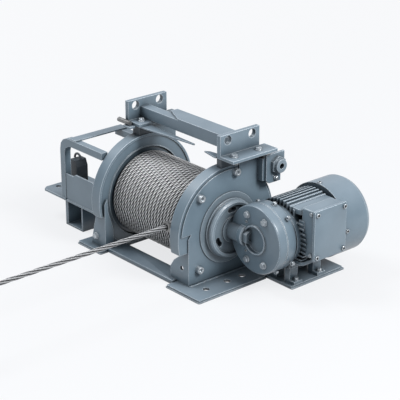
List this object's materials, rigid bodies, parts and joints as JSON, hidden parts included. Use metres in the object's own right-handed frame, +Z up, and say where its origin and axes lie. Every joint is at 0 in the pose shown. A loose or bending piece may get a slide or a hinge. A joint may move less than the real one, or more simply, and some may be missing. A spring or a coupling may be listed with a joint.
{
  "type": "electric winch",
  "caption": "Overhead electric winch with two round pan casings, a wire rope drum, a right-angle gear case, a finned motor and top angle brackets.",
  "frame": {"origin": "on the ground, below the middle of the winch without its free rope", "axes": "+X along the drum axis towards the motor side, +Y from the rope side to the back, +Z up"},
  "size_m": [0.706, 0.9376, 0.305],
  "materials": {
    "slate_paint": "satin blue-grey enamel",
    "hub_paint": "satin grey enamel on machined faces",
    "zinc_steel": "bright zinc plated",
    "wire_rope": "stranded steel wire, lightly greased",
    "bare_steel": "plain steel",
    "dark_pad": "dark painted pads",
    "black_plastic": "moulded black"
  },
  "bodies": {
    "frame": {"bearing_cap": "hub_paint", "bearing_ring_far": "hub_paint", "bearing_ring_motor": "hub_paint", "bracket_bolts": "zinc_steel", "bracket_far_side": "slate_paint", "bracket_motor_side": "slate_paint", "bracket_pads_far": "dark_pad", "bracket_pads_motor": "dark_pad", "cable_gland": "hub_paint", "casing_cap_screws": "zinc_steel", "casing_far_side": "slate_paint", "casing_motor_side": "slate_paint", "channel_leg": "slate_paint", "channel_leg_bolt": "zinc_steel", "cross_beam": "slate_paint", "end_bar_front": "slate_paint", "end_bar_rear": "slate_paint", "end_panel": "slate_paint", "end_shelf": "slate_paint", "end_strap": "slate_paint", "fan_cover": "slate_paint", "foot_plate_far": "slate_paint", "foot_plate_motor": "slate_paint", "gear_case": "slate_paint", "gear_cover_bolts": "zinc_steel", "gland_plate": "slate_paint", "gland_plate_bolt": "zinc_steel", "gland_spacer": "slate_paint", "keeper_clamp": "slate_paint", "keeper_plate": "slate_paint", "keeper_rod": "bare_steel", "keeper_tab": "slate_paint", "leg_bolts": "zinc_steel", "lid_screws": "zinc_steel", "limit_switch": "black_plastic", "motor_foot_bolts": "zinc_steel", "motor_frame": "slate_paint", "motor_plate": "slate_paint", "motor_rear_shield": "slate_paint", "rope_ferrule": "bare_steel", "rope_free": "wire_rope", "rope_guide_eye": "bare_steel", "rope_hook": "bare_steel", "rope_loop": "bare_steel", "side_frame_far": "slate_paint", "side_frame_motor": "slate_paint", "switch_cable_bow": "black_plastic", "terminal_box": "slate_paint", "terminal_lid": "slate_paint", "tie_front": "slate_paint", "tie_rear": "slate_paint"},
    "drum": {"drum_barrel": "slate_paint", "drum_shaft": "hub_paint", "drive_hub": "hub_paint", "shaft_nut": "hub_paint", "rope_wraps": "wire_rope"},
    "rotor": {"rotor": "bare_steel", "fan": "black_plastic"}
  },
  "joints": [
    {"name": "drum_spin", "type": "hinge", "parent": "frame", "child": "drum", "pos_m": [0, -0.051, 0.108], "axis": [1, 0, 0], "continuous": true},
    {"name": "rotor_spin", "type": "hinge", "parent": "frame", "child": "rotor", "pos_m": [0.252, 0.1, 0.108], "axis": [0, 1, 0], "continuous": true}
  ],
  "couplings": [
    {"joint": "rotor_spin", "follows": "drum_spin", "ratio": 20}
  ]
}
